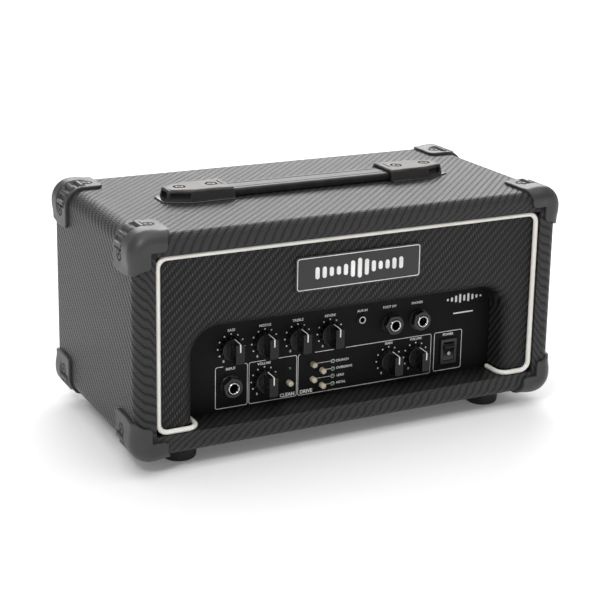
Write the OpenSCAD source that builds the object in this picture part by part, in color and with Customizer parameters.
// Guitar amplifier head: a vinyl-covered plywood cabinet that holds a steel chassis
// with its control panel in front and its connectors behind.
// Millimetres, +Z up, the front faces -Y, the origin is on the floor under the centre.

/* [Cabinet] */
// Width of the covered cabinet
cab_w = 360; // [354:1:372]
// Depth of the covered cabinet
cab_d = 182; // [180:1:190]
// Height of the covered cabinet without its feet
cab_h = 168; // [168:1:176]
// Thickness of the plywood boards
board_t = 15.4; // [15:0.1:15.8]
// Thickness of the vinyl covering
skin_t = 0.4; // [0.3:0.1:0.6]
// Radius of the four long edges that run from front to back
edge_r = 13; // [11:0.5:14]
// Radius of the rims around the front and the back
rim_r = 7; // [5:0.5:8]

/* [Baffle] */
// Thickness of the baffle
baffle_t = 22; // [20:0.5:22]
// How far the baffle lies behind the front of the cabinet
baffle_recess = 5; // [4:0.5:6]
// Width of the arch that shows the control panel
arch_w = 271; // [264:1:274]
// Centre of the arch, sideways
arch_x = 2.5; // [0:0.5:4]
// Height of the arch above the floor
arch_top = 105.5; // [103:0.5:110]
// Radius of the arch's upper corners
arch_r = 21; // [15:1:28]

/* [Piping] */
// Diameter of the piping bead
piping_d = 4; // [3.6:0.1:4.2]
// Bend of the piping at the corners of the baffle
piping_bend_r = 7.5; // [6:0.5:10]
// Turn of the piping round the foot of each baffle leg
piping_turn_r = 8; // [6:0.5:9]

/* [Control panel] */
// Thickness of the control panel
panel_t = 2; // [1.5:0.5:2]
// Height of the panel's upper edge above the floor
panel_top = 112; // [110:1:118]
// Thickness of the chassis sheet
sheet_t = 1.2; // [1:0.1:1.5]

/* [Knobs] */
// Diameter of the knob skirt
knob_d = 18.6; // [17:0.2:20]
// Height of the knob from its skirt to its grip
knob_h = 16.4; // [15:0.2:18]
// Width of the finger grip
grip_w = 7; // [6:0.5:8]
// Diameter of the potentiometer shaft
shaft_d = 6; // [5.8:0.1:6]

/* [Sockets] */
// Bore of the quarter-inch sockets
jack_bore_d = 6.4; // [6.35:0.05:6.5]
// Outer diameter of the quarter-inch barrels
jack_barrel_d = 9.7; // [9.5:0.1:9.8]
// Bore of the auxiliary socket
aux_bore_d = 3.6; // [3.5:0.05:3.7]

/* [Switches] */
// Diameter of the push buttons
button_d = 4.5; // [4:0.1:4.8]
// Travel of the push buttons
button_travel = 1.5; // [1:0.1:1.5]
// Angle of the rocker on each side of its middle position
rocker_tilt = 13; // [11:0.5:13]

/* [Handle] */
// Width of the strap
strap_w = 24; // [22:0.5:24]
// Top of the strap above the cabinet
strap_top = 6.6; // [6:0.1:6.8]
// Height of the end caps
cap_h = 9.5; // [9.5:0.1:10.5]

/* [Corners and feet] */
// Thickness of the corner protectors
guard_t = 2.2; // [1.8:0.1:2.4]
// Height of the rubber feet
foot_h = 14; // [12:0.5:16]
// Diameter of a foot at its top
foot_d = 29; // [27:0.5:29]

/* [Back] */
// Thickness of the back panel
back_t = 8; // [6:0.5:9]
// How far the back panel lies inside the back rim
back_recess = 11; // [10:0.5:12]

/* [Hidden] */

$fn = 48;
eps = 0.01;

// Cabinet levels
wall_t = board_t + skin_t;
front_y = -cab_d / 2;
back_y = cab_d / 2;
bottom_z = foot_h;
top_z = foot_h + cab_h;
mid_z = foot_h + cab_h / 2;
shelf_z = bottom_z + wall_t;
ceiling_z = top_z - wall_t;
inner_x = cab_w / 2 - wall_t;
facets = 32;

// Baffle and piping
baffle_y = front_y + baffle_recess;
panel_y = baffle_y + baffle_t;
piping_r = piping_d / 2;
piping_gap = 0.7;
piping_x = inner_x - piping_gap - piping_r;
piping_hi = ceiling_z - 0.2 - piping_r;
piping_lo = shelf_z + 0.2 + piping_r;
piping_y = baffle_y - piping_r;
flange_t = 0.6;
flange_depth = 14;
baffle_x = piping_x + piping_r - flange_t - 0.2;
baffle_hi = piping_hi + piping_r - flange_t - 0.3;
baffle_lo = piping_lo + piping_r + 0.2;
baffle_r = 6;
leg_inset = 3;

// Battens glued behind the baffle and in front of the back panel
batten_w = 16;
batten_d = 14;
back_face_y = back_y - back_recess - back_t;

// Chassis
chassis_x = inner_x - batten_w - 1.5;
chassis_front_y = panel_y + panel_t;
chassis_rear_y = back_face_y;
chassis_floor_z = shelf_z + 0.2;
chassis_rear_h = 70;
lip_h = 18;
pcb_t = 1.6;
boss_h = 10;
boss_d = 8;
pcb_x = [-140, 40];
pcb_y = [-20, 62];
pcb_z = chassis_floor_z + sheet_t + boss_h;
boss_places = [[-134, -14], [34, -14], [-134, 56], [34, 56]];
control_y = panel_y + 13;
control_x = [-108, 84];
control_z = [36, 95];

// Controls: places across and up the panel
bass = [-93.4, 80];
middle = [-65.4, 80];
treble = [-37.5, 80];
reverb = [-9.6, 80];
clean_volume = [-65.5, 49.6];
gain = [43.6, 49.6];
drive_volume = [68.5, 49.6];
pot_places = [bass, middle, treble, reverb, clean_volume, gain, drive_volume];
jack_places = [[-93.8, 49.6], [45.4, 80], [70.4, 80]];
aux_place = [18, 87];
clean_button = [-44.5, 44.5];
crunch_button = [-24, 56.5];
overdrive_button = [-16, 50.3];
lead_button = [-24, 44.1];
metal_button = [-16, 37.9];
button_places = [clean_button, crunch_button, overdrive_button, lead_button, metal_button];
led_places = [[-43.7, 56], [-6.4, 56.3], [-6.4, 49.9], [-6.4, 43.9], [-6.4, 37.7]];
rocker_place = [98.8, 49.2];

// Knobs and potentiometers
knob_gap = 0.9;
skirt_h = 4.6;
knob_cavity_r = 7.2;
knob_cavity_h = 2.8;
socket_h = 12;
pot_r = 8.2;
pot_depth = 9.2;
bushing_r = 3.5;
bushing_h = 6.2;
running_gap = 0.05;
pot_nut_r = 5.7;
pot_nut_h = 2.2;
shaft_r = shaft_d / 2;
shaft_front = 12.5;
shaft_back = 7.8;

// Sockets
jack_out = 7.5;
jack_body_w = 16;
jack_body_h = 16;
jack_body_d = 23;
jack_nut_r = 8.4;
jack_nut_h = 5.2;
washer_r = 8.6;
washer_t = 1;
jack_hole_r = jack_barrel_d / 2 + 0.15;
aux_barrel_r = 3.9;
aux_out = 2;
speaker_places = [[-60, 62], [-90, 62]];
inlet_place = [105, 62];
inlet_cut = [27, 32];

// Push buttons and lights
button_stem = 7.5;
button_flange_r = 3.2;
button_flange_h = 1;
button_hole_r = button_d / 2 + 0.3;
switch_w = 6.4;
led_r = 1.25;
led_out = 0.8;

// Rocker switch
bezel = [15, 21.4];
bezel_h = 2;
lip_t = 1.5;
rocker_body = [13, 19.2];
rocker_body_d = 17;
aperture = [10.4, 16.2];
rocker_cavity_h = 17.8;
rocker_cavity_d = 12;
pivot_depth = 4;
paddle_w = 9.8;
pivot_pin_r = 1.2;
peak_r = 9.4;
peak_angle = 38;

// Handle
cap_screw_x = [82.5, 109];
cap_inner_x = 69;
cap_outer_x = 126;
strap_end_x = 100;
strap_gap = 0.4;
countersink = 1.2;
strap_lift = 0.7;
foot_plate_t = 1;

// Corner protectors: how far each flange reaches from the outer corner
guard_top_x = 30;
guard_side_z = 29.5;
guard_y = 41;
guard_arm_w = 12.5;
guard_arm_x = 26.5;
guard_arm_z = 26;
guard_spare = 10;
guard_screw_x = 160.5;
guard_screw_y = 67.5;
guard_screw_z = 66.5;
screw_r = 1.7;
screw_head_r = 3.6;
screw_sink = 0.8;

// Feet
foot_x = 135;
foot_y = 62;
foot_taper = 1.5;
foot_edge_r = 2;
foot_recess_r = 5;
foot_recess_h = 8;

// Back panel and its openings
bay = [260, 60];
bay_z = 65;
vent = [190, 36];
vent_z = 130;
grille_t = 1.2;
slot_pitch = 8;
slot_w = 4;

// Transformer, heatsink and capacitors
core_place = [95, 20];
core = [66, 28, 55];
limb_w = 22;
window = [11, 33];
sink_place = [-120, 4];
sink = [64, 30, 34];
fin_count = 9;
fin_t = 1.8;
// each capacitor: place on the board, radius, height
cans = [[-24, 24, 9, 32], [0, 24, 9, 32], [24, 30, 5, 18], [24, 12, 5, 18], [-40, -6, 4, 12], [-20, -6, 4, 12]];

// Badge
badge = [108, 27.5];
badge_x = 2;
badge_z = 137.9;
badge_t = 1.5;
emblem_t = 0.8;
emblem_pitch = 6;
emblem_bar_w = 3.4;

vinyl = [0.16, 0.16, 0.17];
plywood = [0.72, 0.58, 0.40];
black = [0.07, 0.07, 0.07];
dark_plastic = [0.19, 0.19, 0.20];
cream = [0.86, 0.80, 0.66];
steel = [0.62, 0.63, 0.65];
chrome = [0.85, 0.85, 0.87];
bronze = [0.30, 0.27, 0.24];
board_green = [0.10, 0.34, 0.20];
white = [0.95, 0.94, 0.91];

// ---- shared shapes ----

module round_rect(w, h, r) {
  square([w - 2 * r, h], center = true);
  square([w, h - 2 * r], center = true);
  for (sx = [-1, 1], sz = [-1, 1]) {
    translate([sx * (w / 2 - r), sz * (h / 2 - r)])
      circle(r = r);
  }
}

// Places a shape at [x, z] on a plane of constant y, with its own +z towards the front.
module facing_front(place, y) {
  translate([place[0], y, place[1]])
    rotate([90, 0, 0])
      children();
}

// The same with its own +z towards the back.
module facing_back(place, y) {
  translate([place[0], y, place[1]])
    rotate([-90, 0, 0])
      children();
}

// The outer form of the cabinet, larger all round by grow.
module cabinet_form(grow) {
  hull() {
    for (sx = [-1, 1], sy = [-1, 1], sz = [-1, 1]) {
      translate([sx * (cab_w / 2 - edge_r), sy * (cab_d / 2 - rim_r), mid_z + sz * (cab_h / 2 - edge_r)])
        rotate([90, 0, 0])
          rotate_extrude($fn = facets)
            intersection() {
              translate([edge_r - rim_r, 0])
                circle(r = rim_r + grow, $fn = facets);
              translate([0, -edge_r])
                square(2 * edge_r);
            }
    }
  }
}

// A screw whose +z points out of its head, with its head's underside at z = 0.
module cross_screw(head_r, head_h, shank_r, shank_l) {
  difference() {
    cylinder(r1 = head_r, r2 = head_r * 0.72, h = head_h);
    for (a = [0, 90]) {
      rotate([0, 0, a])
        translate([-head_r * 0.55, -head_r * 0.13, head_h * 0.4])
          cube([head_r * 1.1, head_r * 0.26, head_h]);
    }
  }
  translate([0, 0, -shank_l])
    cylinder(r = shank_r, h = shank_l + eps);
}

module at_corner_screws(rows) {
  for (sx = [-1, 1], sy = rows, sz = [-1, 1]) {
    translate([sx * guard_screw_x, sy * guard_screw_y, mid_z + sz * cab_h / 2])
      rotate([sz > 0 ? 0 : 180, 0, 0])
        children();
    translate([sx * cab_w / 2, sy * guard_screw_y, mid_z + sz * guard_screw_z])
      rotate([0, sx * 90, 0])
        children();
  }
}

module at_handle_screws(sides) {
  for (side = sides, x = cap_screw_x) {
    translate([side * x, 0, top_z])
      children();
  }
}

module at_feet() {
  for (sx = [-1, 1], sy = [-1, 1]) {
    translate([sx * foot_x, sy * foot_y, bottom_z])
      children();
  }
}

// ---- cabinet ----

module cabinet_board(corner, size) {
  color(plywood)
    intersection() {
      cabinet_form(-skin_t);
      translate(corner)
        cube(size);
    }
}

module top_board() {
  cabinet_board([-inner_x, front_y, ceiling_z], [2 * inner_x, cab_d, wall_t]);
}

module bottom_board() {
  cabinet_board([-inner_x, front_y, bottom_z], [2 * inner_x, cab_d, wall_t]);
}

// A side board with the two battens glued inside it.
module side_board(side) {
  batten_h = ceiling_z - shelf_z - 0.4;
  batten_x = side > 0 ? inner_x - batten_w : -inner_x;
  cabinet_board([side > 0 ? inner_x : -cab_w / 2, front_y, bottom_z], [wall_t, cab_d, cab_h]);
  color(plywood)
    for (y = [panel_y + panel_t, back_face_y - batten_d]) {
      translate([batten_x, y, shelf_z + 0.2])
        cube([batten_w, batten_d, batten_h]);
    }
}

module cabinet_covering() {
  color(vinyl)
    difference() {
      cabinet_form(0);
      cabinet_form(-skin_t);
      translate([-inner_x, -cab_d, shelf_z])
        cube([2 * inner_x, 2 * cab_d, ceiling_z - shelf_z]);
      at_corner_screws([-1, 1])
        cylinder(r = screw_r + 0.3, h = 4, center = true);
      at_handle_screws([-1, 1])
        cylinder(r = 2.4, h = 4, center = true);
      at_feet()
        cylinder(r = 2.4, h = 4, center = true);
    }
}

// ---- baffle and trim ----

module baffle_board() {
  h = baffle_hi - baffle_lo;
  arch_h = 160;
  color(vinyl)
    facing_front([0, 0], panel_y)
      linear_extrude(baffle_t)
        difference() {
          translate([0, baffle_lo + h / 2])
            round_rect(2 * baffle_x, h, baffle_r);
          translate([arch_x, arch_top - arch_h / 2])
            round_rect(arch_w, arch_h, arch_r);
        }
}

module piping_straight(from, length, turn) {
  translate(from)
    rotate(turn)
      cylinder(r = piping_r, h = length);
}

// A quarter turn of the bead, its bend centre at the origin, in the first quadrant.
module piping_quarter(bend_r) {
  rotate_extrude(angle = 90)
    translate([bend_r, 0])
      circle(r = piping_r, $fn = 24);
}

module piping() {
  b = piping_bend_r;
  t = piping_turn_r;
  run_x = piping_x - b;
  color(white) {
    // the two sides and the top
    for (sx = [-1, 1]) {
      piping_straight([sx * piping_x, piping_y, piping_lo + b], piping_hi - piping_lo - 2 * b, [0, 0, 0]);
      translate([sx * run_x, piping_y, piping_hi - b])
        rotate([90, 0, 0])
          mirror([sx < 0 ? 1 : 0, 0, 0])
            piping_quarter(b);
      translate([sx * run_x, piping_y, piping_lo + b])
        rotate([90, 0, 0])
          mirror([0, 1, 0])
            mirror([sx < 0 ? 1 : 0, 0, 0])
              piping_quarter(b);
      // under the leg, round its inner edge and back to the panel
      leg_x = arch_x + sx * (arch_w / 2 - leg_inset);
      turn_x = leg_x + sx * t;
      piping_straight([sx * run_x, piping_y, piping_lo], abs(sx * run_x - turn_x), [0, -90 * sx, 0]);
      translate([turn_x, piping_y + t, piping_lo])
        rotate([0, 0, sx > 0 ? 180 : 270])
          piping_quarter(t);
      piping_straight([leg_x, piping_y + t, piping_lo], panel_y - piping_y - t, [-90, 0, 0]);
      // the sewn flange that is held between the baffle and the wall
      translate([sx > 0 ? piping_x + piping_r - flange_t : -piping_x - piping_r, piping_y, piping_lo + b])
        cube([flange_t, flange_depth, piping_hi - piping_lo - 2 * b]);
    }
    piping_straight([-run_x, piping_y, piping_hi], 2 * run_x, [0, 90, 0]);
    translate([-run_x, piping_y, piping_hi + piping_r - flange_t])
      cube([2 * run_x, flange_depth, flange_t]);
  }
}

module badge_plate() {
  color(black)
    facing_front([badge_x, badge_z], baffle_y)
      linear_extrude(badge_t)
        round_rect(badge[0], badge[1], 3);
}

// A row of raised bars, tallest in the middle, like a level meter.
module badge_emblem() {
  color(white)
    for (i = [-6:6]) {
      bar_h = 4.5 + 6 * (1 + cos(i * 56)) * (1 - abs(i) / 9) * 0.75;
      facing_front([badge_x + i * emblem_pitch, badge_z], baffle_y - badge_t)
        linear_extrude(emblem_t)
          round_rect(emblem_bar_w, bar_h + 2, emblem_bar_w / 2 - eps);
    }
}

// ---- corner protectors and feet ----

// The part of the corner's skin that a protector covers, for the corner at +x, the given end and +z.
module guard_region(end) {
  x = cab_w / 2;
  z = cab_h / 2;
  y = end > 0 ? back_y - guard_y + guard_t : front_y - guard_t;
  // top flange
  translate([x - guard_top_x, y, z - edge_r])
    cube([guard_top_x + guard_spare, guard_y, edge_r + guard_spare]);
  // side flange
  translate([x - edge_r, y, z - guard_side_z])
    cube([edge_r + guard_spare, guard_y, guard_side_z + guard_spare]);
}

// What is cut away so that only two short arms lie on the front or back face.
module guard_arm_cut(end) {
  x = cab_w / 2;
  z = cab_h / 2;
  deep = 20;
  cut = 60;
  y = end > 0 ? back_y - rim_r + 1 : front_y - deep + rim_r - 1;
  translate([x - guard_arm_w - cut, y, z - guard_arm_w - cut])
    cube([cut, deep, cut]);
  translate([x - guard_arm_x - cut, y, z - deep])
    cube([cut, deep, 2 * deep]);
  translate([x - deep, y, z - guard_arm_z - cut])
    cube([2 * deep, deep, cut]);
}

module corner_protectors_at(end) {
  color(dark_plastic)
    difference() {
      cabinet_form(guard_t);
      cabinet_form(0);
      difference() {
        translate([-cab_w, -cab_d, -cab_h])
          cube([2 * cab_w, 2 * cab_d, 3 * cab_h]);
        translate([0, 0, mid_z])
          for (sx = [0, 1], sz = [0, 1]) {
            mirror([sx, 0, 0])
              mirror([0, 0, sz])
                difference() {
                  guard_region(end);
                  guard_arm_cut(end);
                }
          }
      }
      at_corner_screws([end]) {
        cylinder(r = screw_r + 0.3, h = 12, center = true);
        translate([0, 0, guard_t - screw_sink])
          cylinder(r = screw_head_r + 0.3, h = 10);
      }
    }
}

module corner_protectors() {
  corner_protectors_at(-1);
  corner_protectors_at(1);
}

module corner_screws() {
  color(bronze)
    at_corner_screws([-1, 1])
      translate([0, 0, guard_t - screw_sink])
        cross_screw(screw_head_r, 1.5, screw_r, 12);
}

module rubber_foot() {
  r = foot_d / 2;
  low_r = r - foot_taper;
  difference() {
    rotate_extrude() {
      polygon([[0, 0], [low_r - foot_edge_r, 0], [low_r, foot_edge_r], [r, foot_h], [0, foot_h]]);
      intersection() {
        translate([low_r - foot_edge_r, foot_edge_r])
          circle(r = foot_edge_r);
        square([r, foot_h]);
      }
    }
    translate([0, 0, -1])
      cylinder(r = foot_recess_r, h = foot_recess_h + 1 + eps);
    cylinder(r = 2.4, h = 3 * foot_h, center = true);
  }
}

module rubber_feet() {
  color(black)
    for (sx = [-1, 1], sy = [-1, 1]) {
      translate([sx * foot_x, sy * foot_y, 0])
        rubber_foot();
    }
}

module foot_screws() {
  color(steel)
    at_feet()
      translate([0, 0, foot_recess_h - foot_h])
        rotate([180, 0, 0])
          cross_screw(4, 2, 2, foot_h - foot_recess_h + 12);
}

// ---- handle ----

module cap_plan(x0, x1, half_w, taper_x, end_w) {
  polygon([
    [x0, -half_w], [taper_x, -half_w], [x1, -end_w],
    [x1, end_w], [taper_x, half_w], [x0, half_w]
  ]);
}

module handle_cap() {
  difference() {
    union() {
      linear_extrude(foot_plate_t)
        cap_plan(cap_inner_x + 2, cap_outer_x, 19, 105, 8.5);
      hull() {
        translate([0, 0, foot_plate_t - eps])
          linear_extrude(eps)
            cap_plan(cap_inner_x, cap_outer_x - 3.5, 16.5, 104, 8.5);
        translate([0, 0, cap_h - 1.5])
          linear_extrude(eps)
            cap_plan(cap_inner_x + 1, cap_outer_x - 5, 15, 103, 8);
        translate([0, 0, cap_h - eps])
          linear_extrude(eps)
            cap_plan(cap_inner_x + 3, cap_outer_x - 6.5, 13.5, 102, 7);
      }
    }
    // the pocket for the strap's end
    translate([0, -strap_w / 2 - 0.5, -1])
      cube([strap_end_x + 1, strap_w + 1, strap_top + strap_lift + 0.2 + 1]);
    for (x = cap_screw_x) {
      translate([x, 0, -1])
        cylinder(r = 2.4, h = 2 * cap_h);
      translate([x, 0, cap_h - countersink])
        cylinder(r = 4.4, h = 4);
    }
  }
}

module handle_caps() {
  color(dark_plastic)
    for (side = [0, 1]) {
      translate([0, 0, top_z])
        mirror([side, 0, 0])
          handle_cap();
    }
}

module handle_screws() {
  color(bronze)
    at_handle_screws([-1, 1])
      translate([0, 0, cap_h - countersink])
        cross_screw(4, 1.5, 2, cap_h + 11);
}

module handle_strap() {
  color(black)
    translate([0, 0, top_z])
      difference() {
        translate([-strap_end_x, -strap_w / 2, strap_gap])
          cube([2 * strap_end_x, strap_w, strap_top - strap_gap]);
        for (side = [-1, 1]) {
          translate([side * cap_screw_x[0], 0, 0]) {
            translate([-6, -3, 0])
              cube([12, 6, 20]);
          }
        }
      }
}

// ---- chassis and panel ----

module pot_holes(r, deep) {
  for (p = pot_places) {
    facing_front(p, panel_y + deep)
      cylinder(r = r, h = 2 * deep);
  }
}

// Everything that passes through the control panel and the chassis behind it.
module panel_cutouts() {
  deep = 6;
  pot_holes(bushing_r + 0.2, deep);
  for (p = jack_places) {
    facing_front(p, panel_y + deep)
      cylinder(r = jack_hole_r, h = 2 * deep);
  }
  facing_front(aux_place, panel_y + deep)
    cylinder(r = aux_barrel_r + 0.15, h = 2 * deep);
  for (p = button_places) {
    facing_front(p, panel_y + deep)
      cylinder(r = button_hole_r, h = 2 * deep);
  }
  for (p = led_places) {
    facing_front(p, panel_y + deep)
      cylinder(r = led_r + 0.15, h = 2 * deep);
  }
  facing_front(rocker_place, panel_y + deep)
    translate([-rocker_body[0] / 2 - 0.2, -rocker_body[1] / 2 - 0.2, 0])
      cube([rocker_body[0] + 0.4, rocker_body[1] + 0.4, 2 * deep]);
}

module at_baffle_screws() {
  for (sx = [-1, 1], z = [60, 140]) {
    facing_back([sx * (inner_x - batten_w / 2), z], chassis_front_y + batten_d)
      children();
  }
}

module front_panel() {
  panel_h = panel_top - shelf_z - 0.2;
  color(black)
    difference() {
      facing_front([0, shelf_z + 0.2 + panel_h / 2], chassis_front_y)
        linear_extrude(panel_t)
          round_rect(2 * inner_x - 0.8, panel_h, 2);
      panel_cutouts();
      at_baffle_screws()
        cylinder(r = 2.2, h = 60, center = true);
    }
}

module at_chassis_screws() {
  for (sx = [-1, 1], y = [-38, 66]) {
    translate([sx * 120, y, chassis_floor_z + sheet_t])
      children();
  }
}

// The tray: floor, side lips and the bosses that carry the main board.
module chassis() {
  depth = chassis_rear_y - chassis_front_y;
  color(steel)
    difference() {
      union() {
        translate([-chassis_x, chassis_front_y, chassis_floor_z])
          cube([2 * chassis_x, depth, sheet_t]);
        for (x = [-chassis_x, chassis_x - sheet_t]) {
          translate([x, chassis_front_y + sheet_t, chassis_floor_z])
            cube([sheet_t, depth - 2 * sheet_t, lip_h]);
        }
        for (p = boss_places) {
          translate([p[0], p[1], chassis_floor_z])
            cylinder(d = boss_d, h = boss_h + sheet_t);
        }
      }
      at_chassis_screws()
        cylinder(r = 2.4, h = 6, center = true);
    }
}

// The sheet behind the control panel.
module chassis_face() {
  color(steel)
    difference() {
      translate([-chassis_x, chassis_front_y, chassis_floor_z + sheet_t])
        cube([2 * chassis_x, sheet_t, panel_top - chassis_floor_z - 1 - sheet_t]);
      panel_cutouts();
    }
}

// The sheet that carries the rear connectors.
module chassis_rear() {
  color(steel)
    difference() {
      translate([-chassis_x, chassis_rear_y - sheet_t, chassis_floor_z + sheet_t])
        cube([2 * chassis_x, sheet_t, chassis_rear_h - sheet_t]);
      for (p = speaker_places) {
        facing_back(p, chassis_rear_y - 4)
          cylinder(r = jack_hole_r, h = 8);
      }
      facing_back(inlet_place, chassis_rear_y - 4)
        translate([-inlet_cut[0] / 2 - 0.2, -inlet_cut[1] / 2 - 0.2, 0])
          cube([inlet_cut[0] + 0.4, inlet_cut[1] + 0.4, 8]);
    }
}

module main_circuit_board() {
  color(board_green)
    translate([pcb_x[0], pcb_y[0], pcb_z])
      cube([pcb_x[1] - pcb_x[0], pcb_y[1] - pcb_y[0], pcb_t]);
}

module control_circuit_board() {
  clear = 0.6;
  color(board_green)
    difference() {
      translate([control_x[0], control_y, control_z[0]])
        cube([control_x[1] - control_x[0], pcb_t, control_z[1] - control_z[0]]);
      for (p = jack_places) {
        facing_front(p, control_y + 4)
          translate([-jack_body_w / 2 - clear, -jack_body_h / 2 - clear, 0])
            cube([jack_body_w + 2 * clear, jack_body_h + 2 * clear, 8]);
      }
    }
}

// ---- power supply and output stage ----

module transformer_core() {
  base_z = chassis_floor_z + sheet_t;
  color(steel)
    translate([core_place[0], core_place[1], base_z])
      difference() {
        translate([-core[0] / 2, -core[1] / 2, 0])
          cube(core);
        for (side = [-1, 1]) {
          translate([side * (limb_w + window[0]) / 2 - window[0] / 2, -core[1], (core[2] - window[1]) / 2])
            cube([window[0], 2 * core[1], window[1]]);
        }
      }
}

module transformer_winding() {
  gap = 0.3;
  base_z = chassis_floor_z + sheet_t + (core[2] - window[1]) / 2;
  outer = [limb_w + 2 * window[0] - 2 * gap, core[1] + 20, window[1] - 2 * gap];
  inner = [limb_w + 2 * gap, core[1] + 2 * gap];
  color([0.75, 0.55, 0.20])
    translate([core_place[0], core_place[1], base_z + gap])
      difference() {
        translate([-outer[0] / 2, -outer[1] / 2, 0])
          cube(outer);
        translate([-inner[0] / 2, -inner[1] / 2, -1])
          cube([inner[0], inner[1], outer[2] + 2]);
      }
}

module heatsink() {
  base_t = 5;
  color([0.55, 0.56, 0.58])
    translate([sink_place[0], sink_place[1], pcb_z + pcb_t]) {
      cube([sink[0], base_t, sink[2]]);
      for (i = [0:fin_count - 1]) {
        translate([i * (sink[0] - fin_t) / (fin_count - 1), base_t - eps, 0])
          cube([fin_t, sink[1] - base_t, sink[2]]);
      }
    }
}

module amplifier_chips() {
  color(black)
    for (x = [10, 38]) {
      translate([sink_place[0] + x, sink_place[1] - 4.6, pcb_z + pcb_t + 6])
        cube([19, 4.6, 17]);
      for (i = [0:4]) {
        translate([sink_place[0] + x + 2.5 + i * 3.2, sink_place[1] - 2.8, pcb_z + pcb_t])
          cube([1, 1, 6 + eps]);
      }
    }
}

module capacitors() {
  color([0.12, 0.16, 0.34])
    for (c = cans) {
      translate([c[0], c[1], pcb_z + pcb_t])
        cylinder(r = c[2], h = c[3]);
    }
}

// ---- controls ----

module potentiometers() {
  color(steel)
    for (p = pot_places) {
      difference() {
        union() {
          facing_front(p, chassis_front_y + sheet_t + pot_depth)
            cylinder(r = pot_r, h = pot_depth);
          facing_front(p, chassis_front_y + sheet_t + eps)
            cylinder(r = bushing_r, h = bushing_h);
        }
        facing_front(p, chassis_front_y + sheet_t + pot_depth - 2)
          cylinder(r = shaft_r + running_gap, h = 40);
      }
    }
}

module potentiometer_nuts() {
  color(steel)
    for (p = pot_places) {
      facing_front(p, panel_y)
        difference() {
          cylinder(r = pot_nut_r, h = pot_nut_h, $fn = 6);
          translate([0, 0, -1])
            cylinder(r = bushing_r + 0.05, h = 10);
        }
    }
}

// A pointer knob: round skirt, bar grip across it, pointer at the top.
module knob(place) {
  grip_r = knob_d / 2 - 0.4;
  color(black)
    facing_front(place, panel_y - knob_gap)
      difference() {
        union() {
          cylinder(r1 = knob_d / 2, r2 = knob_d / 2 - 0.3, h = skirt_h);
          intersection() {
            cylinder(r1 = grip_r + 0.2, r2 = grip_r - 0.7, h = knob_h);
            translate([-grip_w / 2, -knob_d / 2, 0])
              cube([grip_w, knob_d, knob_h]);
          }
        }
        translate([0, 0, -eps])
          cylinder(r = knob_cavity_r, h = knob_cavity_h);
        cylinder(r = shaft_r + 0.02, h = socket_h);
      }
}

module shaft(place) {
  color(steel)
    facing_front(place, panel_y + shaft_back)
      cylinder(r = shaft_r, h = shaft_back + shaft_front);
}

// A quarter-inch socket whose mouth faces +z, with the panel's outer face at z = 0.
module quarter_inch_jack(behind) {
  difference() {
    union() {
      translate([0, 0, -behind - eps])
        cylinder(d = jack_barrel_d, h = jack_out + behind);
      translate([-jack_body_w / 2, -jack_body_h / 2, -behind - jack_body_d])
        cube([jack_body_w, jack_body_h, jack_body_d]);
    }
    translate([0, 0, 3 - behind - jack_body_d])
      cylinder(d = jack_bore_d, h = 60);
  }
}

module quarter_inch_jacks() {
  color(chrome)
    for (p = jack_places) {
      facing_front(p, panel_y)
        quarter_inch_jack(panel_t + sheet_t);
    }
}

module speaker_jacks() {
  color(chrome)
    for (p = speaker_places) {
      facing_back(p, chassis_rear_y)
        quarter_inch_jack(sheet_t);
    }
}

module jack_nut() {
  difference() {
    union() {
      cylinder(r = washer_r, h = washer_t);
      translate([0, 0, washer_t])
        cylinder(r = jack_nut_r, h = jack_nut_h, $fn = 6);
    }
    translate([0, 0, -1])
      cylinder(r = jack_hole_r, h = 20);
  }
}

module jack_nuts() {
  color(black) {
    for (p = jack_places) {
      facing_front(p, panel_y)
        jack_nut();
    }
    for (p = speaker_places) {
      facing_back(p, chassis_rear_y)
        jack_nut();
    }
  }
}

module aux_jack() {
  body_d = 9.4;
  color(black)
    facing_front(aux_place, chassis_front_y + sheet_t)
      difference() {
        union() {
          translate([0, 0, -eps])
            cylinder(r = aux_barrel_r, h = panel_t + sheet_t + aux_out);
          translate([-6, -5, -body_d])
            cube([12, 10, body_d]);
        }
        translate([0, 0, 1 - body_d])
          cylinder(d = aux_bore_d, h = 40);
      }
}

// A mains inlet with a three-pin recess above and a fuse drawer below.
module mains_inlet() {
  flange = [33, 38];
  flange_h = 2;
  depth = 20;
  recess = [24, 16.4];
  recess_d = 17;
  color(black)
    facing_back(inlet_place, chassis_rear_y) {
      difference() {
        union() {
          linear_extrude(flange_h)
            round_rect(flange[0], flange[1], 3);
          translate([-inlet_cut[0] / 2, -inlet_cut[1] / 2, -depth])
            cube([inlet_cut[0], inlet_cut[1], depth + eps]);
        }
        translate([-recess[0] / 2, -14.5, flange_h - recess_d])
          cube([recess[0], recess[1], recess_d + 1]);
      }
      for (pin = [[-7, -4.5], [0, -8.5], [7, -4.5]]) {
        translate([pin[0] - 1, pin[1] - 2, flange_h - recess_d - eps])
          cube([2, 4, 12]);
      }
      translate([-11, 5, flange_h - eps])
        cube([22, 9, 1.2]);
    }
}

module push_button(place) {
  color(cream)
    facing_front(place, panel_y + panel_t + sheet_t + button_flange_h + 0.1) {
      cylinder(r = button_flange_r, h = button_flange_h);
      cylinder(d = button_d, h = button_stem + button_flange_h);
    }
}

module button_switches() {
  front = panel_y + panel_t + sheet_t + button_flange_h + 0.1 + button_travel + 0.2;
  color(black)
    for (p = button_places) {
      facing_front(p, control_y)
        translate([-switch_w / 2, -switch_w / 2 + 0.4, 0])
          cube([switch_w, switch_w - 0.8, control_y - front]);
    }
}

module status_leds() {
  color([0.25, 0.55, 0.25])
    for (p = led_places) {
      facing_front(p, control_y)
        cylinder(r = led_r, h = control_y - panel_y + led_out);
    }
}

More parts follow.
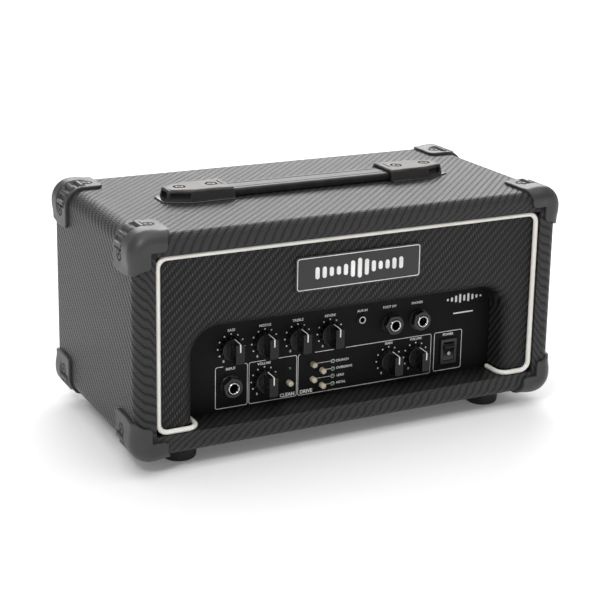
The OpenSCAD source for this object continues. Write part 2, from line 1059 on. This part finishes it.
module rocker_housing() {
  pivot_z = -pivot_depth;
  color(black)
    facing_front(rocker_place, panel_y)
      difference() {
        union() {
          linear_extrude(bezel_h)
            round_rect(bezel[0], bezel[1], 1);
          translate([-rocker_body[0] / 2, -rocker_body[1] / 2, -rocker_body_d])
            cube([rocker_body[0], rocker_body[1], rocker_body_d + eps]);
        }
        translate([-aperture[0] / 2, -aperture[1] / 2, -rocker_cavity_d])
          cube([aperture[0], aperture[1], rocker_cavity_d + 10]);
        translate([-aperture[0] / 2, -rocker_cavity_h / 2, -rocker_cavity_d])
          cube([aperture[0], rocker_cavity_h, rocker_cavity_d + bezel_h - lip_t]);
        translate([0, 0, pivot_z])
          rotate([0, 90, 0])
            cylinder(r = pivot_pin_r + running_gap, h = 12.6, center = true);
      }
}

// The paddle's section, looking along the pivot: x is up, y is out of the panel.
module paddle_section() {
  peak = [peak_r * sin(peak_angle), peak_r * cos(peak_angle)];
  heel = [7.6, 4];
  polygon([
    [-peak[0], peak[1]], [0, peak[1] - 1.5], [peak[0], peak[1]], heel,
    [3, -2.5], [-3, -2.5], [-heel[0], heel[1]]
  ]);
}

// At rest the lower half is pressed in.
module rocker_paddle() {
  color(black)
    translate([rocker_place[0], panel_y + pivot_depth, rocker_place[1]])
      rotate([rocker_tilt, 0, 0]) {
        rotate([90, 0, 90])
          translate([0, 0, -paddle_w / 2])
            linear_extrude(paddle_w)
              rotate([0, 0, 90])
                paddle_section();
        rotate([0, 90, 0])
          cylinder(r = pivot_pin_r, h = 12.2, center = true);
      }
}

// ---- back ----

module at_back_screws() {
  for (sx = [-1, 1], z = [42, 98, 154]) {
    facing_back([sx * (inner_x - batten_w / 2), z], back_face_y + back_t)
      children();
  }
}

module back_panel() {
  h = ceiling_z - shelf_z - 0.6;
  color(black)
    difference() {
      facing_back([0, shelf_z + 0.3 + h / 2], back_face_y)
        linear_extrude(back_t)
          round_rect(2 * inner_x - 0.6, h, 2);
      facing_back([0, bay_z], back_face_y - 1)
        linear_extrude(back_t + 2)
          round_rect(bay[0], bay[1], 8);
      facing_back([0, vent_z], back_face_y - 1)
        linear_extrude(back_t + 2)
          round_rect(vent[0], vent[1], 8);
      at_back_screws()
        cylinder(r = 2.1, h = 40, center = true);
    }
}

module vent_grille() {
  rows = floor((vent[0] - 16) / slot_pitch / 2);
  color(black)
    facing_back([0, vent_z], back_face_y + back_t)
      linear_extrude(grille_t)
        difference() {
          round_rect(vent[0] + 14, vent[1] + 12, 6);
          for (i = [-rows:rows]) {
            translate([i * slot_pitch, 0])
              round_rect(slot_w, vent[1] - 6, slot_w / 2 - eps);
          }
        }
}

module case_screws() {
  color(bronze) {
    at_back_screws()
      cross_screw(3.6, 2, 1.8, back_t + 10);
    at_chassis_screws()
      cross_screw(4, 2, 2, 12);
    at_baffle_screws()
      cross_screw(3.8, 2, 1.9, batten_d + panel_t + 12);
  }
}

top_board();
bottom_board();
side_board(-1);  // left_side_board
side_board(1);  // right_side_board
cabinet_covering();
baffle_board();
piping();
back_panel();
vent_grille();
corner_protectors();
corner_screws();
rubber_feet();
foot_screws();
handle_strap();
handle_caps();
handle_screws();
badge_plate();
badge_emblem();
chassis();
chassis_face();
chassis_rear();
front_panel();
main_circuit_board();
control_circuit_board();
transformer_core();
transformer_winding();
heatsink();
amplifier_chips();
capacitors();
potentiometers();
potentiometer_nuts();
quarter_inch_jacks();
jack_nuts();
aux_jack();
speaker_jacks();
mains_inlet();
button_switches();
status_leds();
rocker_housing();
rocker_paddle();
push_button(clean_button);  // button_clean
push_button(crunch_button);  // button_crunch
push_button(overdrive_button);  // button_overdrive
push_button(lead_button);  // button_lead
push_button(metal_button);  // button_metal
knob(bass);  // knob_bass
knob(middle);  // knob_middle
knob(treble);  // knob_treble
knob(reverb);  // knob_reverb
knob(clean_volume);  // knob_clean_volume
knob(gain);  // knob_gain
knob(drive_volume);  // knob_drive_volume
shaft(bass);  // shaft_bass
shaft(middle);  // shaft_middle
shaft(treble);  // shaft_treble
shaft(reverb);  // shaft_reverb
shaft(clean_volume);  // shaft_clean_volume
shaft(gain);  // shaft_gain
shaft(drive_volume);  // shaft_drive_volume
case_screws();
